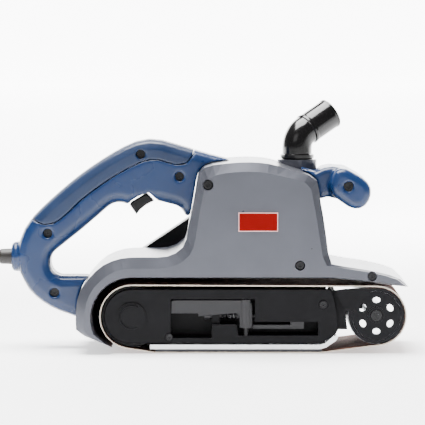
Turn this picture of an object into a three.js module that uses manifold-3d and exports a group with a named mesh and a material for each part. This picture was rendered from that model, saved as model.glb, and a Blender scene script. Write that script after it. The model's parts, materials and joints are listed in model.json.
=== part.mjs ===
// A handheld belt sander for 100 x 610 mm belts. Millimetres, +X towards the nose, +Y away from the open side
// that the belt comes off, +Z up. The origin is the centre of the flat face that the belt sands with.
import * as THREE from "three";
import { mergeVertices } from "three/addons/utils/BufferGeometryUtils.js";
import Module from "manifold-3d";

const wasm = await Module();
wasm.setup();

// ---------------------------------------------------------------- driving dimensions
const GAP = 0.3; // between pieces that touch
const BELT_WIDTH = 100;
const BELT_THICK = 1.1;
const BELT_Y = BELT_WIDTH / 2;
const DRUM = { x: -93.6, z: 32.8, r: 27.9 };
const ROLLER = { x: 127.4, z: 33.8, r: 25.9 };
const SHOE = { rear: -77, front: 81, bottom: 3.6, top: 7.6 };
const PAD_BOTTOM = 1.4;

const COVER_Y = -62; // outer face of the side cover
const COVER_BACK = -44;
const CASE_Y = 51; // where the silver housing ends and the gear case starts
const CASE_THICK = 6;
const DRIVE_Y = 88; // outer face of the drive cover
const ROOF_Z = 68.7; // underside of the deck over the belt
const ARCH_R = 36; // inside of the tail, round the drum
const WALL = 3.5;

const MOTOR = { x: 18, z: 122 };
const STATOR_R = 33;
const TEETH_SMALL = 18;
const TEETH_LARGE = 44;
const TOOTH_PITCH = 3; // along the pitch circle of the toothed pulleys

const HANDLE_Y = 19; // half the width of the handle
const TRIGGER_Y = 8;
const COLLAR = { x: 57.6, y: 25, r: 18, top: 171.5 };
const LEVER_PIN = { x: 9.5, y: -46.8 };
const ROD = { y: -38, z: 33 };
const YOKE_X = 87;
const DRUM_END = -44.9; // the drum's open end
const FRAME_SCREWS = [
  { x: -59.8, z: 14.6, r: 3 },
  { x: 79.2, z: 44.1, r: 3.4 },
];
const LOCK = { x: -92, z: 151 }; // the lock-on button
const HANDLE_SCREWS = [
  { x: -86, z: 178.2 },
  { x: -50.8, z: 157.7 },
  { x: -171, z: 106 },
  { x: -165.1, z: 51.6 },
];
const GRIP_SCREW = { x: 102.1, z: 150.3 };
const ELBOW_TILT = THREE.MathUtils.degToRad(30); // above the level
const ELBOW_TURN = THREE.MathUtils.degToRad(29); // away from the open side

const CORD_R = 4;
const CORD_Z = 83.5; // height of the cord where it leaves the handle
const GUARD = { front: -205.6, rear: -250, rFront: 7.4, rRear: 5.4 };
const COIL = { x: -385, y: 66, rIn: 35.5, rOut: 60.5, top: 16.5 };
const PLUG = { x: -332, y: 125, z: 13 };
// From the guard's mouth down to the surface and along to the coil's outermost turn.
const CORD_ROUTE = [
  [GUARD.rear - GAP, 0, CORD_Z], [-262, 0, 82.6], [-276, 0, 78.8], [-290, 0, 70.5], [-303, 0, 58.5],
  [-315, 0, 45], [-327, 0, 31.5], [-340, 0, 19.5], [-354, 1, 10.5], [-369, 2.8, 5],
];
// From the coil's last turn to the back of the plug.
const CORD_END = [[-354, 124.4, 11.6], [-344, 124.9, 11.9], [PLUG.x - 0.8, PLUG.y, PLUG.z]];

// ---------------------------------------------------------------- materials
function material(color, roughness, metalness) {
  return new THREE.MeshStandardMaterial({ color, roughness, metalness });
}
const SILVER = material(0xb9bcc2, 0.4, 0.6);
const BLUE = material(0x3a629e, 0.45, 0);
const SOFT_BLUE = material(0x3f6cab, 0.7, 0);
const BLACK = material(0x1c1c1e, 0.5, 0);
const CAST = material(0x343438, 0.6, 0.3);
const STEEL = material(0xc9ccd2, 0.3, 1);
const DARK_STEEL = material(0x2b2b2f, 0.35, 0.8);
const ALUMINIUM = material(0xa9adb3, 0.35, 0.9);
const RUBBER = material(0x17171a, 0.85, 0);
const GLOSS_BLACK = material(0x0c0b0d, 0.15, 0);
const RED = material(0xb20a08, 0.5, 0);
const GRIT = material(0x6b3a2c, 0.95, 0);
const CORK = material(0x2c2d33, 0.9, 0);
const COPPER = material(0xb06a3a, 0.4, 0.9);
const BRASS = material(0xc2a25a, 0.35, 0.9);
const LEVER_GREY = material(0x55555c, 0.5, 0.3);

// ---------------------------------------------------------------- shapes in the X-Z plane
// Points of a smooth curve through the given points, without the last one.
function curve(count, points) {
  const spline = new THREE.CatmullRomCurve3(points.map(([x, z]) => new THREE.Vector3(x, z, 0)));
  return spline.getSpacedPoints(count).slice(0, -1).map((p) => [p.x, p.y]);
}

// Points of an arc, without the last one; angles in degrees, anticlockwise from +X.
function arc(x, z, r, from, to, count) {
  const points = [];
  for (let i = 0; i < count; i++) {
    const a = THREE.MathUtils.degToRad(from + ((to - from) * i) / count);
    points.push([x + r * Math.cos(a), z + r * Math.sin(a)]);
  }
  return points;
}

function circle(x, z, r, count) {
  return arc(x, z, r, 0, 360, count);
}

// The smallest convex outline round the points.
function hull(points) {
  const sorted = [...points].sort((a, b) => a[0] - b[0] || a[1] - b[1]);
  const half = (list) => {
    const out = [];
    for (const p of list) {
      while (out.length > 1 && turn(out[out.length - 2], out[out.length - 1], p) <= 1e-6) out.pop();
      out.push(p);
    }
    return out.slice(0, -1);
  };
  return [...half(sorted), ...half(sorted.reverse())];
}

function turn(a, b, c) {
  return (b[0] - a[0]) * (c[1] - a[1]) - (b[1] - a[1]) * (c[0] - a[0]);
}

function shapeOf(points) {
  return new THREE.Shape(points.map(([x, z]) => new THREE.Vector2(x, z)));
}

// ---------------------------------------------------------------- solids
// A closed geometry as a solid, facing outwards whichever way its profile was drawn.
function solid(geometry) {
  const bare = geometry.clone();
  bare.deleteAttribute("normal");
  bare.deleteAttribute("uv");
  const merged = mergeVertices(bare, 1e-4);
  const index = merged.index.array;
  const triangles = [];
  for (let i = 0; i < index.length; i += 3) {
    const [a, b, c] = [index[i], index[i + 1], index[i + 2]];
    if (a !== b && b !== c && a !== c) triangles.push(a, b, c);
  }
  const make = (list) =>
    new wasm.Manifold(
      new wasm.Mesh({
        numProp: 3,
        vertProperties: merged.attributes.position.array,
        triVerts: new Uint32Array(list),
      }),
    );
  const made = make(triangles);
  return made.volume() > 0 ? made : make(triangles.reverse());
}

// An outline in X-Z extruded from y0 to y1, with its edges rounded by `round` on both faces.
function slab(points, y0, y1, round = 0, segments = 2) {
  if (round === 0) {
    const geometry = new THREE.ExtrudeGeometry(shapeOf(points), { depth: y1 - y0, bevelEnabled: false });
    return solid(geometry.rotateX(Math.PI / 2).translate(0, y1, 0));
  }
  const rings = [];
  for (let i = 0; i <= segments; i++) {
    const a = (Math.PI * i) / (2 * segments);
    rings.push({ points: inset(points, round * (1 - Math.sin(a))), y: y0 + round * (1 - Math.cos(a)) });
  }
  const mirrored = rings.map((ring) => ({ points: ring.points, y: y0 + y1 - ring.y })).reverse();
  return skin([...rings, ...mirrored], points);
}

// The outline moved inwards by a distance, point by point along its normals.
function inset(points, distance) {
  const inwards = THREE.ShapeUtils.isClockWise(shapeOf(points).getPoints()) ? 1 : -1;
  return points.map(([x, z], i) => {
    const before = points[(i + points.length - 1) % points.length];
    const after = points[(i + 1) % points.length];
    const along = new THREE.Vector2(after[0] - before[0], after[1] - before[1]).normalize();
    return [x + inwards * along.y * distance, z - inwards * along.x * distance];
  });
}

// The skin through outlines with equal numbers of points, each at its own Y, closed by flat caps.
function skin(rings, capOutline = rings[0].points) {
  const flip = THREE.ShapeUtils.isClockWise(shapeOf(capOutline).getPoints());
  const ordered = (list) => (flip ? [...list].reverse() : list);
  const flat = ordered(capOutline).map(([x, z]) => new THREE.Vector2(x, z));
  const cap = THREE.ShapeUtils.triangulateShape(flat, []);
  const count = flat.length;
  const last = (rings.length - 1) * count;
  const position = rings.flatMap((ring) => ordered(ring.points).flatMap(([x, z]) => [x, ring.y, z]));
  const index = cap.flatMap(([a, b, c]) => [a, b, c, last + a, last + c, last + b]);
  for (let k = 0; k < last; k += count) {
    for (let i = 0; i < count; i++) {
      const [p, q] = [k + i, k + ((i + 1) % count)];
      index.push(q, p, p + count, q, p + count, q + count);
    }
  }
  const geometry = new THREE.BufferGeometry();
  geometry.setAttribute("position", new THREE.Float32BufferAttribute(position, 3));
  geometry.setIndex(index);
  return solid(geometry);
}

function box(x0, x1, y0, y1, z0, z1) {
  const geometry = new THREE.BoxGeometry(x1 - x0, y1 - y0, z1 - z0);
  return solid(geometry.translate((x0 + x1) / 2, (y0 + y1) / 2, (z0 + z1) / 2));
}

// A round bar along Y.
function rod(r, y0, y1, x, z, sides = 24) {
  const geometry = new THREE.CylinderGeometry(r, r, y1 - y0, sides);
  return solid(geometry.translate(x, (y0 + y1) / 2, z));
}

function rodX(r, x0, x1, y, z, sides = 16) {
  const geometry = new THREE.CylinderGeometry(r, r, x1 - x0, sides);
  return solid(geometry.rotateZ(Math.PI / 2).translate((x0 + x1) / 2, y, z));
}

function rodZ(r, z0, z1, x, y, sides = 24) {
  const geometry = new THREE.CylinderGeometry(r, r, z1 - z0, sides);
  return solid(geometry.rotateX(Math.PI / 2).translate(x, y, (z0 + z1) / 2));
}

// A profile of [radius, y] points turned round an axis along Y.
function turned(profile, x, z, sides = 32) {
  const geometry = new THREE.LatheGeometry(profile.map(([r, y]) => new THREE.Vector2(r, y)), sides);
  return solid(geometry.translate(x, 0, z));
}

// A tube with `sides` sides along a smooth curve through the points.
function tube(points, r, sides, steps) {
  const path = new THREE.CatmullRomCurve3(points.map((p) => new THREE.Vector3(...p)));
  const section = new THREE.Shape(circle(0, 0, r, sides).map(([x, y]) => new THREE.Vector2(x, y)));
  return solid(new THREE.ExtrudeGeometry(section, { steps, extrudePath: path }));
}

function join(...parts) {
  return parts.reduce((a, b) => a.add(b));
}

function cut(body, ...tools) {
  return tools.reduce((a, b) => a.subtract(b), body);
}

const part = new THREE.Group();

// Adds a solid to the model as a named mesh.
function piece(name, made, look) {
  const data = made.getMesh();
  const geometry = new THREE.BufferGeometry();
  geometry.setAttribute("position", new THREE.BufferAttribute(data.vertProperties, 3));
  geometry.setIndex(new THREE.BufferAttribute(data.triVerts, 1));
  geometry.computeVertexNormals();
  const mesh = new THREE.Mesh(geometry, look);
  mesh.name = name;
  part.add(mesh);
}

// ---------------------------------------------------------------- outline of the housing and its side cover
// Each stretch is the outer edge and, inside it, the edge of the cover's flat face.
const REAR_EDGE = {
  count: 34,
  outer: [
    [-143.6, 22], [-144, 34], [-142.4, 48.6], [-139.3, 57.6], [-133.9, 65.7], [-128.5, 72], [-121.3, 78.7],
    [-114, 82.8], [-105, 85.9], [-94.4, 87.3], [-80, 87.4], [-65, 87.6], [-58.4, 89.1], [-51.2, 92.8],
    [-46.7, 97.3], [-44.4, 103], [-42.3, 116], [-39, 130], [-36, 147.4], [-34.2, 158], [-31.5, 165],
    [-26, 169], [-13, 171.3], [4.5, 172.8], [18, 172.8], [31.5, 171.3], [38, 169.5],
  ],
  inner: [
    [-136.4, 23], [-136, 34], [-134.5, 44.8], [-130, 56.5], [-125, 63], [-119.5, 68.2], [-113, 72.8],
    [-107.6, 75.4], [-101, 77], [-94.4, 77.6], [-80, 77.7], [-66, 78], [-57, 79.6], [-48, 83.4],
    [-41.5, 89.5], [-37.6, 97], [-34.6, 113], [-31.8, 129], [-29, 144], [-27, 153], [-24.5, 158],
    [-20, 160.8], [-11, 163], [4, 164.6], [17, 164.6], [30, 163.2], [36.5, 161.8],
  ],
};
const FRONT_EDGE = {
  count: 12,
  outer: [[38, 169.5], [54, 164.8], [68, 160.6], [72.5, 157.2], [74.4, 151], [76, 140], [78.6, 126],
    [81, 110],
    [83, 95], [84.4, 86], [86.5, 81.4]],
  inner: [[36.5, 161.8], [50, 158.7], [62, 155.2], [66.4, 152.4], [68.2, 147], [70, 136.5], [72.6, 123.5],
    [75, 108],
    [77.4, 93.5], [79, 85], [82, 80.2]],
};
const NOSE_EDGE = {
  count: 7,
  outer: [[86.5, 81.4], [98.6, 79], [116.6, 76.3], [130, 73.6], [141, 70.8], [148.4, 67.6], [153, 64],
    [155.6, 60.8]],
  inner: [[82, 80.2], [98, 77.6], [116, 75], [129.5, 72.3], [140.4, 69.6], [147.2, 66.7], [151.4, 63.7],
    [153, 62]],
};
const UNDER_EDGE = {
  count: 4,
  outer: [[155.6, 60.8], [148, 61.2], [134.5, 63.3], [116.6, 65.6], [103, 67.3], [86, ROOF_Z]],
  inner: [[153, 62], [147.4, 62.6], [134.4, 64.6], [116.6, 66.9], [103, 68.5], [86, ROOF_Z + 1.2]],
};
const EDGES = [REAR_EDGE, FRONT_EDGE, NOSE_EDGE, UNDER_EDGE];

function archAndTail(r, tail) {
  return [...arc(DRUM.x, DRUM.z, r, 90, 212, 14), ...tail];
}

function housingOutline() {
  const tail = [[-118.6, 10.3], [-111.3, 6], [-124, 11.4], [-136.4, 16.6]];
  return [...EDGES.flatMap((e) => curve(e.count, e.outer)), [86, ROOF_Z], ...archAndTail(ARCH_R, tail)];
}

function faceOutline() {
  const tail = [[-119.8, 11.6], [-117.4, 9.6], [-125, 13.2], [-133, 17.6]];
  const start = [86, ROOF_Z + 1.2];
  return [...EDGES.flatMap((e) => curve(e.count, e.inner)), start, ...archAndTail(ARCH_R + 1.2, tail)];
}

// The room inside the tower.
function towerRoom(y0, y1) {
  const room = [
    [-36, 90], [-34, 120], [-29.5, 147], [-26, 161], [-20, 164.5], [4, 168.6], [18, 168.6], [32, 167],
      [64, 157.6],
    [69.5, 154.5], [72, 140], [75, 121], [78, 101], [80, 86], [76, 75], [-20, 73], [-30, 80],
  ];
  return slab(room, y0, y1);
}

// ---------------------------------------------------------------- casings
const OUTLINE = housingOutline();
const COVER_SCREWS = [
  { x: -24.7, z: 152.8, head: 3.9 },
  { x: 57.9, z: 80.4, head: 3.6 },
  { x: 122.6, z: 70.6, head: 3.4 },
];
const SCREW_HOLE = 1; // radial room round a screw's head

function mainHousing() {
  const shell = slab(OUTLINE, COVER_BACK + GAP, CASE_Y - GAP);
  const bores = COVER_SCREWS.map((s) => rod(1.9, COVER_BACK - 1, COVER_BACK + 15, s.x, s.z, 12));
  const collarBore = rodZ(12.5, 140, 190, COLLAR.x, COLLAR.y);
  const shaftBore = rod(12.3, CASE_Y - 10, CASE_Y + 1, MOTOR.x, MOTOR.z);
  return cut(shell, towerRoom(COVER_BACK - 1, CASE_Y - GAP - WALL), collarBore, shaftBore, ...bores);
}

function sideCover() {
  const rim = slab(OUTLINE, COVER_Y + 5, COVER_BACK);
  const crown = skin([{ points: faceOutline(), y: COVER_Y }, { points: OUTLINE, y: COVER_Y + 5.01 }]);
  const holes = COVER_SCREWS.map((s) => rod(s.head + SCREW_HOLE, COVER_Y - 1, COVER_Y + 6, s.x, s.z, 16));
  const shanks = COVER_SCREWS.map((s) => rod(2.2, COVER_Y, COVER_BACK + 1, s.x, s.z, 12));
  const slots = [];
  for (let i = 0; i < 9; i++) {
    const z = 105 + 5.2 * i;
    slots.push(box(-46, -30, COVER_BACK - 9, COVER_BACK - 1, z, z + 2.6));
  }
  const boss = cut(
    rod(12, COVER_Y + WALL - 1, COVER_BACK - 4, MOTOR.x, MOTOR.z, 24),
    rod(8.3, COVER_Y + WALL + 2, 0, MOTOR.x, MOTOR.z, 24),
  );
  const hollow = cut(join(rim, crown), towerRoom(COVER_Y + WALL, COVER_BACK + 1));
  return cut(join(hollow, boss), ...holes, ...shanks, ...slots);
}

// The plate behind the tower that the base hangs from and the toothed belt runs on.
function driveOutline(grow) {
  const wrap = hull([...circle(DRUM.x, DRUM.z, 40 + grow, 32), ...circle(MOTOR.x, MOTOR.z, 28 + grow, 24)]);
  return wrap;
}

function gearCase() {
  const foot = [[-93, 9], [86, 9], [86, 66], [-93, 66]];
  const plate = join(
    slab(driveOutline(0), CASE_Y, CASE_Y + CASE_THICK),
    slab(foot, CASE_Y, CASE_Y + CASE_THICK),
  );
  const rear = rod(12.3, CASE_Y - 1, DRIVE_Y, DRUM.x, DRUM.z);
  const motor = rod(12.3, CASE_Y - 1, DRIVE_Y, MOTOR.x, MOTOR.z);
  return cut(plate, box(-200, 200, 0, 100, -20, 6), rear, motor);
}

function driveCover() {
  const y0 = CASE_Y + CASE_THICK + GAP;
  const outer = slab(driveOutline(0), y0 - 6, DRIVE_Y, 6, 3);
  const room = slab(driveOutline(-WALL), y0 - 1, DRIVE_Y - WALL);
  const below = (z) => box(-200, 200, 0, 100, -20, z);
  return cut(outer, box(-200, 200, 0, y0, -20, 200), cut(room, below(8.4)), below(6));
}

// ---------------------------------------------------------------- base
function baseFrame() {
  const nose = [[86.4, 58], [90, 47], [91.8, 37.4], [92.7, 21.2], [90.4, 17], [76.5, 8.8], [DRUM.x, 8.8]];
  const side = [...arc(DRUM.x, DRUM.z, 25.2, 90, 254, 18), ...nose.reverse()];
  const plate = slab(side, -BELT_Y, -45.3, 0.8, 1);
  const core = box(-62, 76, -46, CASE_Y - GAP, 9, 57.6);
  const boss = rod(13, -52, -46, DRUM.x, DRUM.z, 24);
  const rear = box(-58, 72, -24, CASE_Y + 1, 14, 53);
  const recess = [
    [-58.5, 49], [17.6, 49], [17.6, 28.4], [74.7, 28.4], [74.7, 15.8], [2.7, 15.8], [0.9, 26], [-20.7, 26],
    [-21.6, 13.6], [-58.5, 13.6],
  ];
  const pedestal = [[-20.7, 30], [0.9, 30], [0.9, 38], [-20.7, 38]];
  const stand = cut(box(-21, -14.2, -45, -28, 24, 40), rodX(2.9, -30, 0, ROD.y, ROD.z));
  const body = cut(
    join(plate, core, boss),
    rear,
    slab(recess, -53, -28),
    slab(pedestal, -53, -44.8),
    rodX(4.2, 3, 80, ROD.y, ROD.z, 12),
    box(40.5, 64, -42.8, -35.2, 24, 36),
    box(70, 80, -46, -28, 19, 40),
    box(-60, -56, -45, -28, 20, 44),
    rod(8.3, -50.4, -40, DRUM.x, DRUM.z),
    rodZ(2.8, 12.4, 51.8, LEVER_PIN.x, LEVER_PIN.y, 12),
    ...FRAME_SCREWS.map((s) => rod(s.r + 0.5, -53, -46, s.x, s.z, 20)),
  );
  return join(body, stand);
}

function shoePlate() {
  const profile = [
    [SHOE.rear, SHOE.bottom], [76.5, SHOE.bottom], [82, 5.2], [90.8, 11.2], [92.6, 14], [91, 16],
      [88.4, 15.4],
    [81, 8.8], [76, SHOE.top], [SHOE.rear, SHOE.top],
  ];
  return slab(profile, -BELT_Y, BELT_Y);
}

function beltLoop(grow) {
  const edge = 4 + grow;
  return hull([
    ...circle(DRUM.x, DRUM.z, DRUM.r + GAP + grow, 40),
    ...circle(ROLLER.x, ROLLER.z, ROLLER.r + GAP + grow, 40),
    ...circle(-73, 4 + BELT_THICK, edge, 12),
    ...circle(77, 4 + BELT_THICK, edge, 12),
  ]);
}

function sandingBelt() {
  return cut(slab(beltLoop(BELT_THICK), -BELT_Y, BELT_Y), slab(beltLoop(0), -BELT_Y - 1, BELT_Y + 1));
}

// ---------------------------------------------------------------- drum and drive
function drumPieces() {
  const far = 49.4;
  const core = turned(
    [[8.3, DRUM_END + 1], [24, DRUM_END + 1], [24, far - 1], [8.3, far - 1], [8.3, DRUM_END + 1]], DRUM.x,
      DRUM.z, 24);
  const tyre = turned(
    [[24.3, DRUM_END], [DRUM.r - 0.8, DRUM_END], [DRUM.r, DRUM_END + 1.5], [DRUM.r, far - 1.5],
      [DRUM.r - 0.8, far], [24.3, far], [24.3, DRUM_END]],
    DRUM.x, DRUM.z, 36);
  piece("drum_core", core, ALUMINIUM);
  piece("drum_tyre", tyre, RUBBER);
  piece("drive_shaft", turned(
    [[0, -50], [4.4, -50], [4.4, DRUM_END], [8, DRUM_END], [8, 50], [6.4, 50], [6.4, 80], [0, 80]],
    DRUM.x, DRUM.z, 16), STEEL);
  piece("drum_bearing_near", bearing(4.7, 8, -50.2, -45.6, DRUM), STEEL);
  piece("drum_bearing_far", bearing(6.7, 12, CASE_Y + 0.3, CASE_Y + 5.4, DRUM), STEEL);
}

function bearing(rIn, rOut, y0, y1, at) {
  return turned([[rIn, y0], [rOut, y0], [rOut, y1], [rIn, y1], [rIn, y0]], at.x, at.z, 16);
}

// A toothed pulley with a flange on each side.
function toothed(teeth, y0, y1, bore, at) {
  const r = (teeth * TOOTH_PITCH) / (2 * Math.PI);
  const rim = [];
  for (let i = 0; i < teeth; i++) {
    for (const [share, depth] of [[0, 0.7], [0.5, -0.5]]) {
      const a = (2 * Math.PI * (i + share)) / teeth;
      rim.push([at.x + (r + depth) * Math.cos(a), at.z + (r + depth) * Math.sin(a)]);
    }
  }
  const flange = (y) => rod(r + 2, y, y + 1.2, at.x, at.z, 20);
  return cut(join(slab(rim, y0, y1), flange(y0), flange(y1 - 1.2)),
    rod(bore, y0 - 1, y1 + 1, at.x, at.z, 12));
}

function timingBelt(y0, y1) {
  const small = (TEETH_SMALL * TOOTH_PITCH) / (2 * Math.PI);
  const large = (TEETH_LARGE * TOOTH_PITCH) / (2 * Math.PI);
  const run = (grow) =>
    hull([...circle(DRUM.x, DRUM.z, large + grow, 44), ...circle(MOTOR.x, MOTOR.z, small + grow, 24)]);
  return cut(slab(run(2.4), y0, y1), slab(run(1.1), y0 - 1, y1 + 1));
}

function drivePieces() {
  piece("large_pulley", toothed(TEETH_LARGE, 61, 77, 6.7, DRUM), ALUMINIUM);
  piece("small_pulley", toothed(TEETH_SMALL, 61, 77, 5.3, MOTOR), STEEL);
  piece("timing_belt", timingBelt(62.6, 75.4), RUBBER);
}

function motorPieces() {
  const ring = (rIn, rOut, y0, y1, n) =>
    turned([[rIn, y0], [rOut, y0], [rOut, y1], [rIn, y1], [rIn, y0]], MOTOR.x, MOTOR.z, n);
  piece("stator", ring(21.4, STATOR_R, -28, 24, 24), CAST);
  const shaft = [[0, -55], [4, -55], [4, -49], [5, -49], [5, -25], [20.6, -25], [20.6, 21], [5, 21],
    [5, 80], [0, 80]];
  piece("armature", turned(shaft, MOTOR.x, MOTOR.z, 16), STEEL);
  piece("commutator", ring(5.3, 13, -44, -31, 16), COPPER);
  piece("cooling_fan", fan(), BLACK);
  piece("brush_upper", box(MOTOR.x - 3.5, MOTOR.x + 3.5, -42, -33, MOTOR.z + 13.3, MOTOR.z + 26), CORK);
  piece("brush_lower", box(MOTOR.x - 3.5, MOTOR.x + 3.5, -42, -33, MOTOR.z - 26, MOTOR.z - 13.3), CORK);
  piece("motor_bearing_near", bearing(4.3, 8, -55, -49.4, MOTOR), STEEL);
  piece("motor_bearing_far", bearing(5.3, 12, CASE_Y + 0.3, CASE_Y + 5.4, MOTOR), STEEL);
}

function fan() {
  const hub = rod(9, 28, 42, MOTOR.x, MOTOR.z, 12);
  const disc = rod(31, 28, 30, MOTOR.x, MOTOR.z, 20);
  const blades = [];
  for (let i = 0; i < 9; i++) {
    const blade = new THREE.BoxGeometry(22, 11.8, 1.6).translate(19.5, 35.4, 0);
    blades.push(solid(blade.rotateY((2 * Math.PI * i) / 9).translate(MOTOR.x, 0, MOTOR.z)));
  }
  return cut(join(hub, disc, ...blades), rod(5.3, 20, 50, MOTOR.x, MOTOR.z, 12));
}

// ---------------------------------------------------------------- front roller and belt tension
function frontRoller() {
  const near = -49.4;
  const far = 45.4;
  const rim = turned(
    [[22, near + 2.4], [22.4, near], [ROLLER.r - 0.6, near], [ROLLER.r, near + 0.8], [ROLLER.r, far - 0.8],
      [ROLLER.r - 0.6, far], [22, far], [22, near + 2.4]],
    ROLLER.x, ROLLER.z, 36);
  const web = rod(22.2, near + 1.6, near + 4, ROLLER.x, ROLLER.z, 24);
  const hub = rod(8.2, near + 1, far - 2, ROLLER.x, ROLLER.z, 16);
  const windows = [];
  for (let i = 0; i < 6; i++) {
    const opening = new THREE.CylinderGeometry(3.3, 3.3, 12, 10).scale(1.1, 1, 0.85);
    opening.translate(0, near, 14.2).rotateY((Math.PI * i) / 3).translate(ROLLER.x, 0, ROLLER.z);
    windows.push(solid(opening));
  }
  return cut(join(rim, web, hub), rod(5.6, near - 1, far + 1, ROLLER.x, ROLLER.z, 16), ...windows);
}

function tensionPieces() {
  piece("front_roller", frontRoller(), ALUMINIUM);
  piece("roller_shaft", rod(5.1, -49.2, 49.6, ROLLER.x, ROLLER.z, 20), DARK_STEEL);
  const back = box(YOKE_X, YOKE_X + 3.5, -45, 46, 20, 55);
  const wing = slab(
    [[YOKE_X, 56], [98, 57.5], [103.5, 50], [100.4, 41], [100, 34], [100.6, 26], [101.5, 21], [YOKE_X, 21]],
    -44.8, -42.5);
  const arm = slab(
    [[YOKE_X, 20], [YOKE_X, 50], [97, 46], [108, 37.4], [124, 37.4], [124, 30.2], [108, 30.2], [97, 23]],
    46, 49.6);
  const boss = rod(7.4, 46, 49.6, ROLLER.x, ROLLER.z, 20);
  const bridge = box(90, 104.6, -44.6, -42.5, 49.5, 55.5);
  const post = box(99.8, 104.6, -51.9, -42.5, 49.5, 55.5);
  const plate = slab([
    [89.7, 57.2], [98, 58.4], [110, 58.9], [121, 58.6],
    ...arc(ROLLER.x, ROLLER.z, 19.6, 105, 165, 5), [108.5, 38.9], [98.6, 38.3],
  ], -51.9, -50.4);
  const yoke = cut(join(back, wing, arm, boss, bridge, post, plate),
    rod(5.4, 40, 55, ROLLER.x, ROLLER.z, 20), rodX(2.6, 80, 95, ROD.y, ROD.z));
  piece("roller_yoke", yoke, CAST);
  const bar = join(
    rodX(2.2, -25, 4, ROD.y, ROD.z),
    rodX(3.9, -28, -23, ROD.y, ROD.z),
    rodX(4.4, 1.4, 5, ROD.y, ROD.z),
    rodX(2.8, 4, YOKE_X - 1.6, ROD.y, ROD.z),
    rodX(2.2, YOKE_X - 3, YOKE_X + 9, ROD.y, ROD.z),
    box(16, 62, -40.6, -36, 21, 24.6),
    box(50, 62, -40.6, -36, 21, 33),
  );
  piece("tension_rod", bar, LEVER_GREY);
  piece("tension_spring", coilSpring(-13.8, 1, ROD, 3.4, 0.55, 4), STEEL);
}

// A helical spring along X.
function coilSpring(x0, x1, at, r, wire, turns) {
  const points = [];
  const steps = turns * 6;
  for (let i = 0; i <= steps; i++) {
    const a = (2 * Math.PI * i) / 6;
    const x = x0 + wire + ((x1 - x0 - 2 * wire) * i) / steps;
    points.push([x, at.y + r * Math.cos(a), at.z + r * Math.sin(a)]);
  }
  return tube(points, wire, 4, turns * 8);
}

function leverPieces() {
  const corner = arc(8.5, 41.5, 6.8, 90, 0, 6);
  const outline = [
    [-58, 35.8], [-33.5, 35.8], [-33.5, 33.2], [0.6, 36], [3.6, 33], [3.6, 22.7], [15.3, 22.7], [15.3, 41.5],
    ...corner.reverse(), [-56, 48.3], [-58, 46.5],
  ];
  const blade = slab(outline, -49.8, -45.2, 0.6, 1);
  const knuckle = rodZ(5, 22.7, 48.3, LEVER_PIN.x, LEVER_PIN.y, 16);
  piece("belt_lever", cut(join(blade, knuckle), rodZ(2.8, 10, 60, LEVER_PIN.x, LEVER_PIN.y, 12)),
    LEVER_GREY);
  piece("lever_pin", rodZ(2.4, 12.8, 51.4, LEVER_PIN.x, LEVER_PIN.y, 12), DARK_STEEL);
}

// ---------------------------------------------------------------- handle
const HANDLE_TOP = [
  [40, 120], [36, 148], [18, 165], [0, 171.8], [-22.5, 177.6], [-41, 183], [-59.3, 188.4], [-68.4, 190.8],
    [-77.6, 191.6],
  [-86.8, 190.5], [-96, 187.2], [-105, 182.9], [-123.5, 171.8], [-142, 159], [-160, 144.3], [-178.6, 127.3],
  [-187, 118.4], [-192.4, 110.3], [-197, 99.3],
];
const HANDLE_TAIL = [
  [-197, 70], [-193, 61.5], [-188.6, 54], [-182, 47], [-173, 40.4], [-164, 35.6], [-155, 32.2], [-144, 28.6],
];
const GRIP_UNDER = [
  [-98.3, 132.4], [-104.7, 134.2], [-111, 133.3], [-115.6, 130.6], [-122.9, 124.2], [-141.2, 108.6],
  [-159.4, 94], [-165.8, 88.6], [-168.5, 84.9], [-169, 79.4], [-167.6, 73.1], [-164, 68.8], [-159.4, 66.8],
];

function handleOutline() {
  const rear = [HANDLE_TOP[HANDLE_TOP.length - 1], [-199.2, 84.5], HANDLE_TAIL[0]];
  return [
    ...curve(26, HANDLE_TOP), ...curve(4, rear), ...curve(8, HANDLE_TAIL), [-144, 28.6],
    [-110, 40], [-125, 66.8], [-159.4, 66.8], ...curve(22, GRIP_UNDER).reverse(),
    [-84, 134.6], [-70.9, 135.6], [-63.6, 133.7], [-54.5, 131.5], [-49.5, 128.8], [-45, 122], [-20, 119],
  ];
}

// The opening in the underside that the trigger moves in.
const NOOK = [[-98.3, 131], [-95.7, 135], [-89.3, 139.4], [-82, 142.6], [-78.5, 143.5], [-70.4, 135.2],
  [-70, 130]];

// The soft strip along the palm side, from the rear of the handle to the tower.
function palmOutline() {
  const seam = [
    [-189, 122], [-179.3, 115.7], [-172.9, 114.3], [-165, 115.6], [-157.4, 120.7], [-141, 136.2],
    [-113.7, 156.3], [-95.4, 166.7], [-82, 172.6], [-74.5, 173.6], [-66.3, 172.7], [-59, 169.9],
      [-52.6, 168.7],
    [-45.3, 169.8], [-41, 172.6], [-37, 184],
  ];
  return [...curve(22, seam), [-37, 184], [-37, 200], [-120, 200], [-200, 160], [-200, 122]];
}

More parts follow.
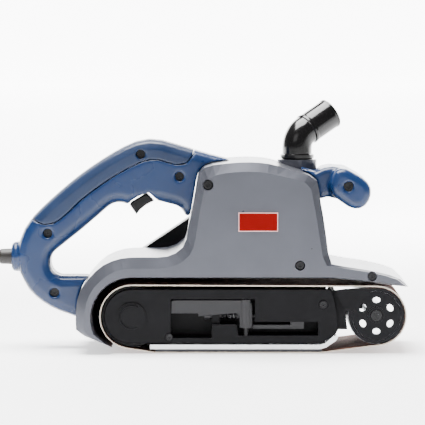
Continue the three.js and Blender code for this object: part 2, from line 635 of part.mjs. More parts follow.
function handlePieces() {
  const collar = turned([[0, 0], [11.5, 0], [13.6, 2.2], [13.9, 5], [13.9, 20], [0, 20]], 0, 0, 20);
  const grip = slab(handleOutline(), -HANDLE_Y, HANDLE_Y, 8, 2);
  const whole = cut(
    join(grip, collar.rotate([0, 0, -90]).translate(-205, 0, CORD_Z)),
    slab(NOOK, -HANDLE_Y - 1, HANDLE_Y + 1),
  );
  const clear = slab(OUTLINE, -60, 60);
  const path = [[-20, 0, 148], [-60, 0, 160], [-85, 0, 164], [-120, 0, 148], [-160, 0, 118], [-182, 0, 92],
    [-210, 0, 84]];
  const wiring = tube(path, 6.6, 6, 12);
  const palm = slab(palmOutline(), -30, 30);
  const wells = HANDLE_SCREWS.map((s) => rod(4.3, -30, -9, s.x, s.z, 14));
  const shanks = HANDLE_SCREWS.map((s) => rod(2, -30, 14, s.x, s.z, 8));
  const room = box(-100, -79, -TRIGGER_Y - 1, TRIGGER_Y + 1, 139, 160);
  const button = rod(5.6, 0, 30, LOCK.x, LOCK.z, 20);
  const gland = rodX(8, -206, -198, 0, CORD_Z, 16);
  const shell = cut(
    whole, clear.translate(-0.6, 0, 0), clear.translate(0, 0, 0.6), clear, wiring, room, button, gland,
    ...wells, ...shanks,
  );
  const strip = shell.intersect(palm);
  const rest = cut(shell, palm.translate(0.25, 0, -0.25), palm.translate(-0.25, 0, -0.25), palm);
  const sides = [
    ["near", box(-300, 100, -40, -0.15, 0, 300)],
    ["far", box(-300, 100, 0.15, 40, 0, 300)],
  ];
  for (const [side, half] of sides) {
    piece("handle_" + side, largest(rest.intersect(half)), BLUE);
    piece("palm_grip_" + side, largest(strip.intersect(half)), SOFT_BLUE);
  }
  HANDLE_SCREWS.forEach((s, i) => {
    piece("handle_screw_" + (i + 1), screw(s, 3.9, -12.4, 1.7, 10), DARK_STEEL);
  });
}

// The biggest body of a solid, dropping slivers that a cut left behind.
function largest(made) {
  return made.decompose().sort((a, b) => b.volume() - a.volume())[0];
}

// A screw along Y, its head's top at y0, with a hexagon socket.
function screw(at, head, y0, shank, y1) {
  const body = join(rod(head, y0, y0 + 3, at.x, at.z, 14), rod(shank, y0 + 2, y1, at.x, at.z, 8));
  return cut(body, rod(head * 0.5, y0 - 1, y0 + 1.8, at.x, at.z, 6));
}

function switchPieces() {
  const face = [
    [-96.6, 131.6], [-90.4, 122.6], [-86.6, 127.2], [-82, 131], [-77.8, 133.3], [-74.2, 135.1],
    [-80.6, 141.6], [-83.2, 141], [-89.4, 137.2], [-95.2, 133.8],
  ];
  piece("trigger", slab(face, -TRIGGER_Y, TRIGGER_Y, 1, 1), BLACK);
  piece("switch_body", box(-99, -82, -TRIGGER_Y, TRIGGER_Y, 144.5, 157), BLACK);
  piece("trigger_spring", rodZ(2, 140.7, 144.2, -87, 0, 12), STEEL);
  piece("lock_button", rod(5.1, 11.5, 21.5, LOCK.x, LOCK.z, 20), BLACK);
}

// ---------------------------------------------------------------- front grip and dust outlet
function frontGrip() {
  const pill = curve(20, [
    [89.5, 163.8], [96.7, 166.8], [103.9, 164.3], [112.9, 159.3], [119.4, 154.4], [122.9, 146.7],
      [121.1, 137.7],
    [116.5, 131.8], [110.2, 129.5], [103.9, 130.9], [94.9, 136.8], [86.6, 143.5], [85.2, 152], [89.5, 163.8],
  ]);
  const neck = [[60, 166], [72.6, 162.4], [80, 166.2], [88, 167.6], [96, 166.4], [100, 150], [92, 138],
    [84, 140],
    [77, 138], [66, 130]];
  const grip = join(slab(pill, -44, 46, 6, 2), slab(neck, -30, 32, 4, 2));
  const clear = slab(OUTLINE, -60, 60);
  const well = rod(4.6, -60, -38, GRIP_SCREW.x, GRIP_SCREW.z, 14);
  const shank = rod(2, -60, 0, GRIP_SCREW.x, GRIP_SCREW.z, 12);
  const collar = rodZ(COLLAR.r + 0.6, 140, 200, COLLAR.x, COLLAR.y, 28);
  return largest(cut(grip, clear.translate(0.5, 0, 0), clear.translate(0, 0, 0.5), clear, collar, well,
    shank));
}

function dustCollar() {
  const body = rodZ(COLLAR.r, 150, COLLAR.top, COLLAR.x, COLLAR.y, 28);
  const clear = slab(OUTLINE, -60, 60).translate(0, 0, 0.5);
  const bore = rodZ(14.8, COLLAR.top - 3, 200, COLLAR.x, COLLAR.y, 20);
  return largest(cut(body, clear, bore, rodZ(12, 100, 200, COLLAR.x, COLLAR.y, 16)));
}

function dustElbow() {
  const out = [
    Math.cos(ELBOW_TILT) * Math.cos(ELBOW_TURN), Math.cos(ELBOW_TILT) * Math.sin(ELBOW_TURN),
      Math.sin(ELBOW_TILT),
  ];
  const bend = new THREE.Vector3(COLLAR.x, COLLAR.y, 193);
  const along = (t) => bend.clone().add(new THREE.Vector3(...out).multiplyScalar(t)).toArray();
  const foot = [COLLAR.x, COLLAR.y, COLLAR.top - 2.6];
  const rise = [COLLAR.x, COLLAR.y, 183];
  const path = [foot, [COLLAR.x, COLLAR.y, 175], rise, along(9), along(20), along(41)];
  const past = [[COLLAR.x, COLLAR.y, COLLAR.top - 8], ...path.slice(1, -1), along(44)];
  return cut(tube(path, 14.1, 18, 11), tube(past, 11.2, 12, 11));
}

// ---------------------------------------------------------------- cord
function cordPieces() {
  const guard = new THREE.CylinderGeometry(GUARD.rRear, GUARD.rFront, GUARD.front - GUARD.rear, 16);
  guard.rotateZ(Math.PI / 2).translate((GUARD.front + GUARD.rear) / 2, 0, CORD_Z);
  piece("cord_guard", join(solid(guard), rodX(7.6, GUARD.front - 0.2, -199, 0, CORD_Z)), BLACK);
  piece("supply_cord", tube(CORD_ROUTE, CORD_R, 8, 14), BLACK);
  const ring = [[COIL.rIn, 0.2], [COIL.rOut, 0.2], [COIL.rOut, COIL.top], [COIL.rIn, COIL.top],
    [COIL.rIn, 0.2]];
  const lathe = new THREE.LatheGeometry(ring.map(([r, z]) => new THREE.Vector2(r, z)), 28);
  const coil = solid(lathe.rotateX(Math.PI / 2).translate(COIL.x, COIL.y, 0));
  piece("cord_coil", coil, BLACK);
  piece("cord_end", tube(CORD_END, CORD_R, 8, 7), BLACK);
  piece("plug", plugBody(), BLACK);
  for (const [name, y] of [["plug_pin_a", PLUG.y - 9.5], ["plug_pin_b", PLUG.y + 9.5]]) {
    piece(name, rodX(2.4, PLUG.x + 39.3, PLUG.x + 58, y, PLUG.z, 12), BRASS);
  }
}

function plugBody() {
  const body = new THREE.CylinderGeometry(17, 14, 24, 16).scale(1, 1, 0.72);
  body.rotateZ(-Math.PI / 2).translate(PLUG.x + 27, PLUG.y, PLUG.z);
  const stem = new THREE.CylinderGeometry(10, 5.6, 16, 12);
  stem.rotateZ(-Math.PI / 2).translate(PLUG.x + 8, PLUG.y, PLUG.z);
  return join(solid(body), solid(stem));
}

// ---------------------------------------------------------------- assembly
piece("main_housing", mainHousing(), SILVER);
piece("side_cover", sideCover(), SILVER);
piece("label_plate", slab([[2.6, 111.1], [38, 111.1], [38, 128.1], [2.6, 128.1]], COVER_Y - 1.1,
  COVER_Y - GAP), RED);
piece("gear_case", gearCase(), CAST);
piece("drive_cover", driveCover(), BLACK);
piece("base_frame", baseFrame(), CAST);
piece("shoe_plate", shoePlate(), STEEL);
piece("pad", box(-72, 78, -BELT_Y, BELT_Y, PAD_BOTTOM, SHOE.bottom - GAP), CORK);
piece("sanding_belt", sandingBelt(), GRIT);
COVER_SCREWS.forEach((s, i) => piece("cover_screw_" + (i + 1), screw(s, s.head, COVER_Y + 1.6, 1.7, -34),
  DARK_STEEL));
piece("frame_screw", screw(FRAME_SCREWS[0], FRAME_SCREWS[0].r, -51.4, 1.8, -46.6), DARK_STEEL);
piece("tracking_screw", screw(FRAME_SCREWS[1], FRAME_SCREWS[1].r, -52, 2.2, -46.4), DARK_STEEL);
drumPieces();
drivePieces();
motorPieces();
tensionPieces();
leverPieces();
handlePieces();
switchPieces();
piece("front_grip", frontGrip(), BLUE);
piece("grip_screw", screw(GRIP_SCREW, 4.2, -42.6, 1.7, -20), DARK_STEEL);
piece("dust_collar", dustCollar(), SILVER);
piece("dust_elbow", dustElbow(), GLOSS_BLACK);
cordPieces();

export default part;
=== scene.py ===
import json
import math

import bmesh
import bpy
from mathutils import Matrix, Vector


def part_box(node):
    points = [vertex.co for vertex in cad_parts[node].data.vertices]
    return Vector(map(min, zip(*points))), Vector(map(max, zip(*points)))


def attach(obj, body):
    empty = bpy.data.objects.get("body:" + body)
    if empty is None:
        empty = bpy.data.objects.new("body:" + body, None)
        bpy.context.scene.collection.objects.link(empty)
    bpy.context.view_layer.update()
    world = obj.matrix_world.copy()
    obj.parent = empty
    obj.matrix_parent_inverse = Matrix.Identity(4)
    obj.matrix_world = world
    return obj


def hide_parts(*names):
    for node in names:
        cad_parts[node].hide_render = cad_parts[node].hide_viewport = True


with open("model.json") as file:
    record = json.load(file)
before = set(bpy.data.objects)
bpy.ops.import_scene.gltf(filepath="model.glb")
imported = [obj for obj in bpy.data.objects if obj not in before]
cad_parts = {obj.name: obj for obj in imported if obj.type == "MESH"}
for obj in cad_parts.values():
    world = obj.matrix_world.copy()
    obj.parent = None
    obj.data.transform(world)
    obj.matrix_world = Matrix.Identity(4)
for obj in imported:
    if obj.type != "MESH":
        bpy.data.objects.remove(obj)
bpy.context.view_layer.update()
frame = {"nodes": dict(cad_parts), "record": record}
NODES = frame["nodes"]
MM = 0.001

# ------------------------------------------------------------------ camera
TARGET = Vector((-0.0207, -0.05, 0.12735))
DISTANCE = 2.5
ELEVATION = math.radians(4.0)
FIELD_OF_VIEW = math.radians(8.75)
SENSOR = 36.0
camera = bpy.data.objects.new("camera", bpy.data.cameras.new("camera"))
bpy.context.collection.objects.link(camera)
camera.data.sensor_width = SENSOR
camera.data.lens = SENSOR / 2 / math.tan(FIELD_OF_VIEW / 2)
back = Vector((0, -math.cos(ELEVATION), math.sin(ELEVATION)))
camera.location = TARGET + back * DISTANCE
camera.rotation_mode = "QUATERNION"
camera.rotation_quaternion = (-back).to_track_quat("-Z", "Y")
bpy.context.scene.camera = camera


# ------------------------------------------------------------------ curves
def spline_points(points, steps):
    """A Catmull-Rom curve through the points, `steps` to a span."""
    pts = [Vector(p) for p in points]
    pts = [2 * pts[0] - pts[1]] + pts + [2 * pts[-1] - pts[-2]]
    out = []
    for i in range(1, len(pts) - 2):
        p0, p1, p2, p3 = pts[i - 1 : i + 3]
        for k in range(steps):
            t = k / steps
            out.append(
                0.5 * (2 * p1 + (p2 - p0) * t + (2 * p0 - 5 * p1 + 4 * p2 - p3) * t * t
                       + (3 * p1 - p0 - 3 * p2 + p3) * t ** 3)
            )
    out.append(pts[-2])
    return out


# ------------------------------------------------------------------ cord
CORD_R = 4.0
EXIT = (-250.3, 0, 83.5)
ROUTE = [
    EXIT, (-262, 0, 82.6), (-276, 0, 78.8), (-290, 0, 70.5), (-303, 0, 58.5), (-315, 0, 45),
    (-327, 0, 31.5), (-340, 0, 19.5), (-354, 1, 10.5), (-369, 2.8, 5),
]
COIL_X, COIL_Y = -385.0, 66.0
PITCH = 8.3
TURNS = 2.75  # in on the lower layer, and the same out again on the upper one
EDGE_R, JOIN_R = 56.3, 62.5
LEAD = 0.25  # of a turn, in which the cord joins the coil, and half of its climb to the upper layer
COIL_STEPS, CURVE_STEPS = 110, 4
LOW_Z, HIGH_Z = 4.2, 12.4
CORD_END = [(-354, 124.4, 11.6), (-344, 124.9, 11.9), (-332.8, 125, 13)]


def coil_radius(turn):
    turn = min(turn, 2 * TURNS - turn)
    if turn < LEAD:
        return JOIN_R + (EDGE_R - JOIN_R) * turn / LEAD
    return EDGE_R - PITCH * (turn - LEAD)


def coil_points(count):
    out = []
    for i in range(count + 1):
        turn = 2 * TURNS * i / count
        a = -math.pi / 2 - 2 * math.pi * turn
        rise = min(1.0, max(0.0, (turn - TURNS + LEAD) / (2 * LEAD)))
        z = LOW_Z + (HIGH_Z - LOW_Z) * rise * rise * (3 - 2 * rise)
        r = coil_radius(turn)
        out.append((COIL_X + r * math.cos(a), COIL_Y + r * math.sin(a), z))
    return out


route = spline_points(ROUTE + coil_points(COIL_STEPS) + CORD_END, CURVE_STEPS)
cord_line = [p * MM for p in route]
cord_data = bpy.data.curves.new("mains_cord", "CURVE")
cord_data.dimensions = "3D"
cord_data.bevel_depth = CORD_R * MM
cord_data.bevel_resolution = 4
cord_data.use_fill_caps = True
line = cord_data.splines.new("POLY")
line.points.add(len(cord_line) - 1)
for point, co in zip(line.points, cord_line):
    point.co = (*co, 1.0)
cord = bpy.data.objects.new("mains_cord", cord_data)
bpy.context.collection.objects.link(cord)


# ------------------------------------------------------------------ materials
def material(name, color, rough, metal=0.0, vary=0.12, scale=40.0, grain=900.0, bump=0.04, stretch=None,
             coat=0.0, rough_spread=0.12, fleck=None, specular=0.4):
    """A surface with slow colour variation, uneven gloss and a fine relief; stretch draws the relief out
    along an axis, as brushing or turning does, and fleck mixes in specks of another colour."""
    m = bpy.data.materials.new(name)
    m.use_nodes = True
    nodes, links = m.node_tree.nodes, m.node_tree.links
    shader = nodes["Principled BSDF"]
    shader.inputs["Metallic"].default_value = metal
    shader.inputs["Coat Weight"].default_value = coat
    shader.inputs["Specular IOR Level"].default_value = specular
    shader.inputs["Coat Roughness"].default_value = 0.12
    place = nodes.new("ShaderNodeTexCoord")
    slow = nodes.new("ShaderNodeTexNoise")
    slow.inputs["Scale"].default_value = scale
    slow.inputs["Detail"].default_value = 5.0
    links.new(place.outputs["Object"], slow.inputs["Vector"])
    tint = nodes.new("ShaderNodeValToRGB")
    tint.color_ramp.elements[0].position = 0.3
    tint.color_ramp.elements[1].position = 0.7
    tint.color_ramp.elements[0].color = (*[c * (1 - vary) for c in color], 1)
    tint.color_ramp.elements[1].color = (*[min(1, c * (1 + vary)) for c in color], 1)
    links.new(slow.outputs["Fac"], tint.inputs["Fac"])
    shade = nodes.new("ShaderNodeMapRange")
    shade.inputs["To Min"].default_value = max(0.03, rough - rough_spread)
    shade.inputs["To Max"].default_value = min(1.0, rough + rough_spread)
    links.new(slow.outputs["Fac"], shade.inputs["Value"])
    links.new(shade.outputs["Result"], shader.inputs["Roughness"])
    fine = nodes.new("ShaderNodeTexNoise")
    fine.inputs["Scale"].default_value = grain
    fine.inputs["Detail"].default_value = 3.0
    if stretch is None:
        links.new(place.outputs["Object"], fine.inputs["Vector"])
    else:
        mapping = nodes.new("ShaderNodeMapping")
        mapping.inputs["Scale"].default_value = stretch
        links.new(place.outputs["Object"], mapping.inputs["Vector"])
        links.new(mapping.outputs["Vector"], fine.inputs["Vector"])
    relief = nodes.new("ShaderNodeBump")
    relief.inputs["Strength"].default_value = min(1.0, bump * 6)
    relief.inputs["Distance"].default_value = bump * MM
    links.new(fine.outputs["Fac"], relief.inputs["Height"])
    links.new(relief.outputs["Normal"], shader.inputs["Normal"])
    last = tint.outputs["Color"]
    if fleck is not None:
        mix = nodes.new("ShaderNodeMix")
        mix.data_type = "RGBA"
        cut = nodes.new("ShaderNodeMapRange")
        cut.inputs["From Min"].default_value = 0.54
        cut.inputs["From Max"].default_value = 0.64
        links.new(fine.outputs["Fac"], cut.inputs["Value"])
        links.new(cut.outputs["Result"], mix.inputs["Factor"])
        links.new(last, mix.inputs["A"])
        mix.inputs["B"].default_value = (*fleck, 1)
        last = mix.outputs["Result"]
    links.new(last, shader.inputs["Base Color"])
    return m


def two_tone(base, name, color, build):
    """A copy of a material whose colour gives way to another where build's mask is 1."""
    m = base.copy()
    m.name = name
    nodes, links = m.node_tree.nodes, m.node_tree.links
    shader = nodes["Principled BSDF"]
    old = shader.inputs["Base Color"].links[0].from_socket
    mix = nodes.new("ShaderNodeMix")
    mix.data_type = "RGBA"
    links.new(old, mix.inputs["A"])
    mix.inputs["B"].default_value = (*color, 1)
    links.new(build(nodes, links), mix.inputs["Factor"])
    links.new(mix.outputs["Result"], shader.inputs["Base Color"])
    return m


def math_node(nodes, links, operation, *values):
    node = nodes.new("ShaderNodeMath")
    node.operation = operation
    for socket, value in zip(node.inputs, values):
        if isinstance(value, (int, float)):
            socket.default_value = value
        else:
            links.new(value, socket)
    return node.outputs[0]


def side_faces(nodes, links):
    """1 on faces that look along Y."""
    place = nodes.new("ShaderNodeTexCoord")
    split = nodes.new("ShaderNodeSeparateXYZ")
    links.new(place.outputs["Normal"], split.inputs[0])
    across = math_node(nodes, links, "ABSOLUTE", split.outputs["Y"])
    return math_node(nodes, links, "GREATER_THAN", across, 0.9)


LABEL_RIM = 0.0006


def label_border(nodes, links):
    """1 in the rim of the label."""
    low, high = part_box("label_plate")
    place = nodes.new("ShaderNodeTexCoord")
    split = nodes.new("ShaderNodeSeparateXYZ")
    links.new(place.outputs["Object"], split.inputs[0])
    rims = []
    for axis, i in (("X", 0), ("Z", 2)):
        middle, half = (low[i] + high[i]) / 2, (high[i] - low[i]) / 2
        away = math_node(nodes, links, "ABSOLUTE",
                         math_node(nodes, links, "SUBTRACT", split.outputs[axis], middle))
        rims.append(math_node(nodes, links, "GREATER_THAN", away, half - LABEL_RIM))
    return math_node(nodes, links, "MAXIMUM", *rims)


MATERIALS = {
    "silver_paint": material("silver_paint", (0.068, 0.071, 0.086), 0.3, 0.5, vary=0.05, grain=2600,
                             bump=0.025, rough_spread=0.06),
    "blue_plastic": material("blue_plastic", (0.0035, 0.018, 0.066), 0.28, vary=0.07, scale=25, grain=2200,
                             bump=0.035),
    "soft_blue": material("soft_blue", (0.0026, 0.013, 0.045), 0.38, vary=0.06, grain=1500, bump=0.07),
    "black_plastic": material("black_plastic", (0.005, 0.005, 0.006), 0.4, vary=0.2, grain=1800, bump=0.04,
                              specular=0.2),
    "cast_dark": material("cast_dark", (0.0045, 0.0045, 0.0055), 0.48, vary=0.25, grain=1100, bump=0.09,
                          specular=0.1),
    "steel": material("steel", (0.62, 0.63, 0.65), 0.26, 1.0, vary=0.06, grain=700, bump=0.015,
                      stretch=(1, 14, 1), rough_spread=0.08),
    "dark_steel": material("dark_steel", (0.012, 0.012, 0.013), 0.3, 0.7, vary=0.2, grain=1500, bump=0.02),
    "aluminium": material("aluminium", (0.5, 0.51, 0.53), 0.34, 0.95, vary=0.06, grain=700, bump=0.02,
                          stretch=(14, 1, 14)),
    "rubber": material("rubber", (0.012, 0.012, 0.013), 0.8, vary=0.2, grain=1300, bump=0.08),
    "gloss_black": material("gloss_black", (0.002, 0.0018, 0.002), 0.16, vary=0.1, grain=500, bump=0.01,
                            coat=0.15, rough_spread=0.05),
    "red_label": material("red_label", (0.15, 0.0002, 0.0001), 0.6, vary=0.04, grain=1500, bump=0.01,
                          specular=0.06),
    "abrasive": material("abrasive", (0.14, 0.055, 0.035), 0.92, vary=0.2, grain=2400, bump=0.25,
                         fleck=(0.32, 0.17, 0.11)),
    "graphite": material("graphite", (0.03, 0.03, 0.034), 0.85, vary=0.2, grain=1400, bump=0.1),
    "copper": material("copper", (0.5, 0.2, 0.09), 0.35, 0.95, grain=700, bump=0.02, stretch=(1, 14, 1)),
    "brass": material("brass", (0.6, 0.44, 0.17), 0.3, 0.95, grain=900, bump=0.015, stretch=(14, 1, 1)),
    "lever_grey": material("lever_grey", (0.016, 0.016, 0.018), 0.36, 0.4, vary=0.15, grain=1300, bump=0.04),
    "cord_rubber": material("cord_rubber", (0.008, 0.006, 0.0055), 0.44, vary=0.15, grain=1500, bump=0.06),
}
MATERIALS["abrasive"] = two_tone(MATERIALS["abrasive"], "abrasive_belt", (0.62, 0.55, 0.46), side_faces)
MATERIALS["red_label"] = two_tone(
    MATERIALS["red_label"], "red_label_bordered", (0.75, 0.42, 0.4), label_border)
ROLLER_FACE = two_tone(MATERIALS["aluminium"], "roller_black_face", (0.009, 0.009, 0.01), side_faces)
SLOT = {s["node"]: s["material_slot"] for s in frame["record"]["subparts"]}


def paint(obj, slot_name):
    obj.data.materials.clear()
    obj.data.materials.append(MATERIALS[slot_name])
    return obj


# ------------------------------------------------------------------ CAD nodes shown as they are
EDGE_ANGLE = math.radians(34)  # sharper edges than this stay crisp, and are bevelled
# Voxel size and bevel width, in millimetres.
SOFT_MOULDED = {"handle_near": 1.1, "handle_far": 1.1, "palm_grip_near": 1.0, "palm_grip_far": 1.0,
                "front_grip": 1.1, "trigger": 0.5}
BEVELLED = {"main_housing": 0.7, "side_cover": 0.7, "drive_cover": 0.6, "gear_case": 0.5, "base_frame": 0.35,
            "shoe_plate": 0.25, "belt_lever": 0.3, "tension_rod": 0.25, "roller_yoke": 0.4,
            "label_plate": 0.15, "lock_button": 0.5, "dust_collar": 0.5, "front_roller": 0.3, "drum_core": 0.4}
for name, obj in NODES.items():
    paint(obj, SLOT[name])
    obj.data.shade_smooth()
    obj.data.set_sharp_from_angle(angle=EDGE_ANGLE)
    if name in SOFT_MOULDED:
        remesh = obj.modifiers.new("remesh", "REMESH")
        remesh.mode = "VOXEL"
        remesh.voxel_size = SOFT_MOULDED[name] * MM
        remesh.use_smooth_shade = True
        smooth = obj.modifiers.new("smooth", "SMOOTH")
        smooth.factor = 0.5
        smooth.iterations = 7
    elif name in BEVELLED:
        bevel = obj.modifiers.new("bevel", "BEVEL")
        bevel.width = BEVELLED[name] * MM
        bevel.segments = 2
        bevel.limit_method = "ANGLE"
        bevel.angle_limit = EDGE_ANGLE
        bevel.harden_normals = True
NODES["front_roller"].data.materials[0] = ROLLER_FACE


# ------------------------------------------------------------------ meshes made here
MADE_EDGE_ANGLE = math.radians(40)


def circle_angles(count):
    return [2 * math.pi * k / count for k in range(count)]


def mesh_object(name, vertices, faces):
    data = bpy.data.meshes.new(name)
    data.from_pydata([Vector(v) * MM for v in vertices], [], faces)
    work = bmesh.new()
    work.from_mesh(data)
    bmesh.ops.recalc_face_normals(work, faces=work.faces)
    work.to_mesh(data)
    work.free()
    data.shade_smooth()
    data.set_sharp_from_angle(angle=MADE_EDGE_ANGLE)
    obj = bpy.data.objects.new(name, data)
    bpy.context.collection.objects.link(obj)
    return obj


def rings_mesh(name, rings, closed):
    """A skin through rings of points. closed joins the last ring to the first; otherwise both are capped."""
    count = len(rings[0])
    vertices = [p for ring in rings for p in ring]
    faces = []
    for k in range(len(rings) if closed else len(rings) - 1):
        a, b = k * count, ((k + 1) % len(rings)) * count
        for i in range(count):
            j = (i + 1) % count
            faces.append((a + i, a + j, b + j, b + i))
    if not closed:
        faces.append(tuple(range(count))[::-1])
        faces.append(tuple((len(rings) - 1) * count + i for i in range(count)))
    return mesh_object(name, vertices, faces)


def frames_along(points):
    """A point, and two directions across the line, for each point of a line."""
    pts = [Vector(p) for p in points]
    tangents = [(pts[min(i + 1, len(pts) - 1)] - pts[max(i - 1, 0)]).normalized() for i in range(len(pts))]
    across = tangents[0].orthogonal().normalized()
    out = []
    for point, tangent in zip(pts, tangents):
        across = (across - tangent * across.dot(tangent)).normalized()
        out.append((point, across, tangent.cross(across)))
    return out


def ring_at(place, radius, sides):
    point, u, v = place
    return [point + radius * (math.cos(a) * u + math.sin(a) * v) for a in circle_angles(sides)]


# The dust elbow: a bent pipe with a rolled foot, a step after the bend and an open mouth.
COLLAR_X, COLLAR_Y = 57.6, 25.0
TILT, TURN = math.radians(30), math.radians(29)
OUT = Vector((math.cos(TILT) * math.cos(TURN), math.cos(TILT) * math.sin(TURN), math.sin(TILT)))
CORNER = Vector((COLLAR_X, COLLAR_Y, 193))
FOOT_Z, FOOT_RINGS = 169, 13  # a ring each millimetre
BEND_Z, BEND_REACH, BEND_STEPS = 181.5, 10, 20
SPOUT, SPOUT_RINGS = 31, 41
BORE_R, BEND_R, ELBOW_SIDES = 11.2, 13.6, 48
# The outer radius below each ring number, counted from the foot and from the spout's first ring.
FOOT_RADII = [(4, 13.8), (8, 15.6)]
SPOUT_RADII = [(3, BEND_R), (7, 14.6), (38, 14.1), (SPOUT_RINGS, 14.5)]


def elbow_line():
    points = [Vector((COLLAR_X, COLLAR_Y, FOOT_Z + i)) for i in range(FOOT_RINGS)]
    start, end = Vector((COLLAR_X, COLLAR_Y, BEND_Z)), CORNER + OUT * BEND_REACH
    for i in range(1, BEND_STEPS):
        t = i / BEND_STEPS
        points.append((1 - t) ** 2 * start + 2 * t * (1 - t) * CORNER + t * t * end)
    points += [CORNER + OUT * (BEND_REACH + SPOUT * i / (SPOUT_RINGS - 1)) for i in range(SPOUT_RINGS)]
    return points


def elbow_radius(index, count):
    past = index - (count - SPOUT_RINGS)
    for limit, radius in FOOT_RADII:
        if index < limit:
            return radius
    for limit, radius in SPOUT_RADII:
        if 0 <= past < limit:
            return radius
    return BEND_R


places = frames_along(elbow_line())
outside = [ring_at(p, elbow_radius(i, len(places)), ELBOW_SIDES) for i, p in enumerate(places)]
inside = [ring_at(p, BORE_R, ELBOW_SIDES) for p in reversed(places)]
elbow = rings_mesh("dust_elbow_pipe", outside + inside, True)
paint(elbow, "gloss_black")
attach(elbow, "elbow")
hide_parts("dust_elbow")


# The cord guard: a tapered sleeve with grooves round it.
GUARD_FRONT, GUARD_REAR, GUARD_STEPS, GUARD_SIDES = -199.0, -249.9, 102, 32
TAPER_FROM, TAPER_LENGTH, TAPER_DEPTH = -205.6, 44.3, 2.0
GUARD_R, GUARD_ROOT_R = 7.4, 7.5  # outside and inside the handle
GROOVES_FROM, GROOVES_TO, GROOVE_PITCH, GROOVE_DEPTH = -212, -246, 5.6, 0.75


def guard_radius(x):
    if x > TAPER_FROM:
        return GUARD_ROOT_R
    r = GUARD_R - TAPER_DEPTH * min(1.0, max(0.0, (TAPER_FROM - x) / TAPER_LENGTH))
    if x > GROOVES_FROM or x < GROOVES_TO:
        return r
    return r - GROOVE_DEPTH * max(0.0, math.sin((x - GROOVES_FROM) * 2 * math.pi / GROOVE_PITCH)) ** 2


def guard_rings():
    rings = []
    for i in range(GUARD_STEPS + 1):
        x = GUARD_FRONT + (GUARD_REAR - GUARD_FRONT) * i / GUARD_STEPS
        r = guard_radius(x)
        rings.append([(x, r * math.cos(a), EXIT[2] + r * math.sin(a)) for a in circle_angles(GUARD_SIDES)])
    return rings


guard = paint(rings_mesh("cord_guard_sleeve", guard_rings(), False), "cord_rubber")
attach(guard, "root")
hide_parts("cord_guard")


# The plug: a flattened grip that narrows to its stem, with ridges for the fingers.
PLUG_Y, PLUG_Z, PLUG_SIDES = 125, 13, 36
PLUG_PROFILE = [
    (-332, 5.4), (-330, 6.2), (-325, 7.2), (-320, 8.6), (-317, 10), (-316, 12.4), (-314, 13.8), (-311, 14.3),
    (-310, 13.6), (-308, 14.4), (-307, 15.1), (-306, 14.4), (-304, 15), (-303, 15.8), (-302, 15.2),
    (-299, 16.2), (-294.6, 16.9), (-293.4, 16.2), (-293.1, 15.2),
]
ROUND_TO, FLAT_FROM, FLATTENED = 7, 10, 0.28  # the radii where the section is still round and fully flat


def plug_rings():
    rings = []
    for x, r in PLUG_PROFILE:
        squash = FLATTENED * min(1.0, max(0, r - ROUND_TO) / (FLAT_FROM - ROUND_TO))
        rings.append([(x, PLUG_Y + r * math.cos(a), PLUG_Z + (1.0 - squash) * r * math.sin(a))
                      for a in circle_angles(PLUG_SIDES)])
    return rings


plug = paint(rings_mesh("plug_grip", plug_rings(), False), "cord_rubber")
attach(plug, "root")
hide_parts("plug")


# The ridge on the frame's round boss, open on the nose side.
DRUM_X, DRUM_Z = -93.6, 32.8
RIDGE_R, RIDGE_Y, RIDGE_BAR_R, RIDGE_SIDES = 10.5, -52.1, 0.75, 10
RIDGE_FROM, RIDGE_SWEEP, RIDGE_STEPS = 60, 240, 40
ridge_line = [
    (DRUM_X + RIDGE_R * math.cos(a), RIDGE_Y, DRUM_Z + RIDGE_R * math.sin(a))
    for a in (math.radians(RIDGE_FROM + RIDGE_SWEEP * k / RIDGE_STEPS) for k in range(RIDGE_STEPS + 1))
]
ridge_rings = [ring_at(p, RIDGE_BAR_R, RIDGE_SIDES) for p in frames_along(ridge_line)]
ridge = paint(rings_mesh("boss_ridge", ridge_rings, False), "cast_dark")
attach(ridge, "root")


# The tie that holds the coil: a strap round its turns, on the side away from the sander.
TIE_ANGLE, TIE_R, TIE_Z, TIE_STEPS = 200, 46, 8.3, 28
TIE_REACH, TIE_LIFT, TIE_RAISE = 15.6, 8.2, 0.9
TIE_HALF_WIDTH, TIE_THICK = 4, 0.9


def tie_rings():
    angle = math.radians(TIE_ANGLE)
    middle = Vector((COIL_X + TIE_R * math.cos(angle), COIL_Y + TIE_R * math.sin(angle), TIE_Z))
    strap = [(-TIE_HALF_WIDTH, 0), (TIE_HALF_WIDTH, 0), (TIE_HALF_WIDTH, TIE_THICK),
             (-TIE_HALF_WIDTH, TIE_THICK)]
    radial = Vector((math.cos(angle), math.sin(angle), 0))
    along = Vector((-math.sin(angle), math.cos(angle), 0))
    rings = []
    for a in circle_angles(TIE_STEPS):
        reach = radial * TIE_REACH * math.copysign(abs(math.cos(a)) ** 0.5, math.cos(a))
        lift = Vector((0, 0, TIE_LIFT * math.copysign(abs(math.sin(a)) ** 0.5, math.sin(a))))
        out = (reach + lift).normalized()
        centre = middle + reach + lift + Vector((0, 0, TIE_RAISE))
        rings.append([centre + along * w + out * h for w, h in strap])
    return rings


tie = paint(rings_mesh("cord_tie", tie_rings(), True), "black_plastic")
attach(tie, "root")

paint(cord, "cord_rubber")
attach(cord, "root")
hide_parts("supply_cord", "cord_coil", "cord_end")

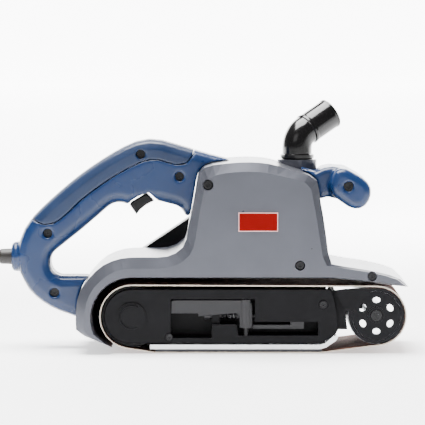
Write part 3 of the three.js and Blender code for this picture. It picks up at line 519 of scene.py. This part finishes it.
# ------------------------------------------------------------------ stage and light
# A pale sweep, larger than the circle that the camera turns in. It glows from a little behind the sander, so
# that the background is white while the side in view stays in soft shade.
SWEEP_FRONT, SWEEP_BACK, SWEEP_R, SWEEP_TOP, SWEEP_SIDE = -14.0, 10.0, 3.0, 9.0, 14.0
FLOOR_DROP = 0.0004
GLOW = {"From Min": 0.3, "From Max": 1.7, "To Min": 0.8, "To Max": 7.5}  # strength over depth
profile = [(SWEEP_FRONT, 0.0)]
profile += [(SWEEP_BACK + SWEEP_R * math.sin(a), SWEEP_R - SWEEP_R * math.cos(a))
            for a in (math.pi / 2 * k / 16 for k in range(17))]
profile += [(SWEEP_BACK + SWEEP_R, SWEEP_TOP)]
floor_data = bpy.data.meshes.new("floor")
floor_data.from_pydata(
    [(x, y, z) for y, z in profile for x in (-SWEEP_SIDE, SWEEP_SIDE)], [],
    [(2 * k, 2 * k + 1, 2 * k + 3, 2 * k + 2) for k in range(len(profile) - 1)],
)
floor_data.shade_smooth()
floor = bpy.data.objects.new("floor", floor_data)
bpy.context.collection.objects.link(floor)
floor.location.z = -FLOOR_DROP
pale = bpy.data.materials.new("pale_floor")
pale.use_nodes = True
paper = pale.node_tree.nodes["Principled BSDF"]
paper.inputs["Base Color"].default_value = (0.95, 0.95, 0.95, 1)
paper.inputs["Roughness"].default_value = 0.9
paper.inputs["Emission Color"].default_value = (1, 1, 1, 1)
fade = pale.node_tree.nodes.new("ShaderNodeMapRange")
fade.interpolation_type = "SMOOTHSTEP"
for socket, value in GLOW.items():
    fade.inputs[socket].default_value = value
depth = pale.node_tree.nodes.new("ShaderNodeSeparateXYZ")
spot = pale.node_tree.nodes.new("ShaderNodeTexCoord")
pale.node_tree.links.new(spot.outputs["Object"], depth.inputs[0])
pale.node_tree.links.new(depth.outputs["Y"], fade.inputs["Value"])
pale.node_tree.links.new(fade.outputs["Result"], paper.inputs["Emission Strength"])
floor_data.materials.append(pale)

world = bpy.data.worlds.new("studio")
bpy.context.scene.world = world
world.use_nodes = True
world.node_tree.nodes["Background"].inputs["Color"].default_value = (1, 1, 1, 1)
world.node_tree.nodes["Background"].inputs["Strength"].default_value = 0.3


def area(name, place, aim, size, power):
    data = bpy.data.lights.new(name, "AREA")
    data.shape = "RECTANGLE"
    data.size, data.size_y = size
    data.energy = power
    obj = bpy.data.objects.new(name, data)
    bpy.context.collection.objects.link(obj)
    obj.location = place
    obj.rotation_mode = "QUATERNION"
    obj.rotation_quaternion = (Vector(aim) - Vector(place)).to_track_quat("-Z", "Y")


area("key", (-0.25, 0.0, 1.6), (-0.02, -0.02, 0.1), (1.5, 1.1), 150)
area("front", (-0.7, -1.7, 1.0), (0, 0, 0.1), (1.0, 0.7), 3)
area("rim", (0.9, 1.2, 0.9), (0, 0, 0.1), (1.0, 0.7), 10)

bpy.context.view_layer.update()
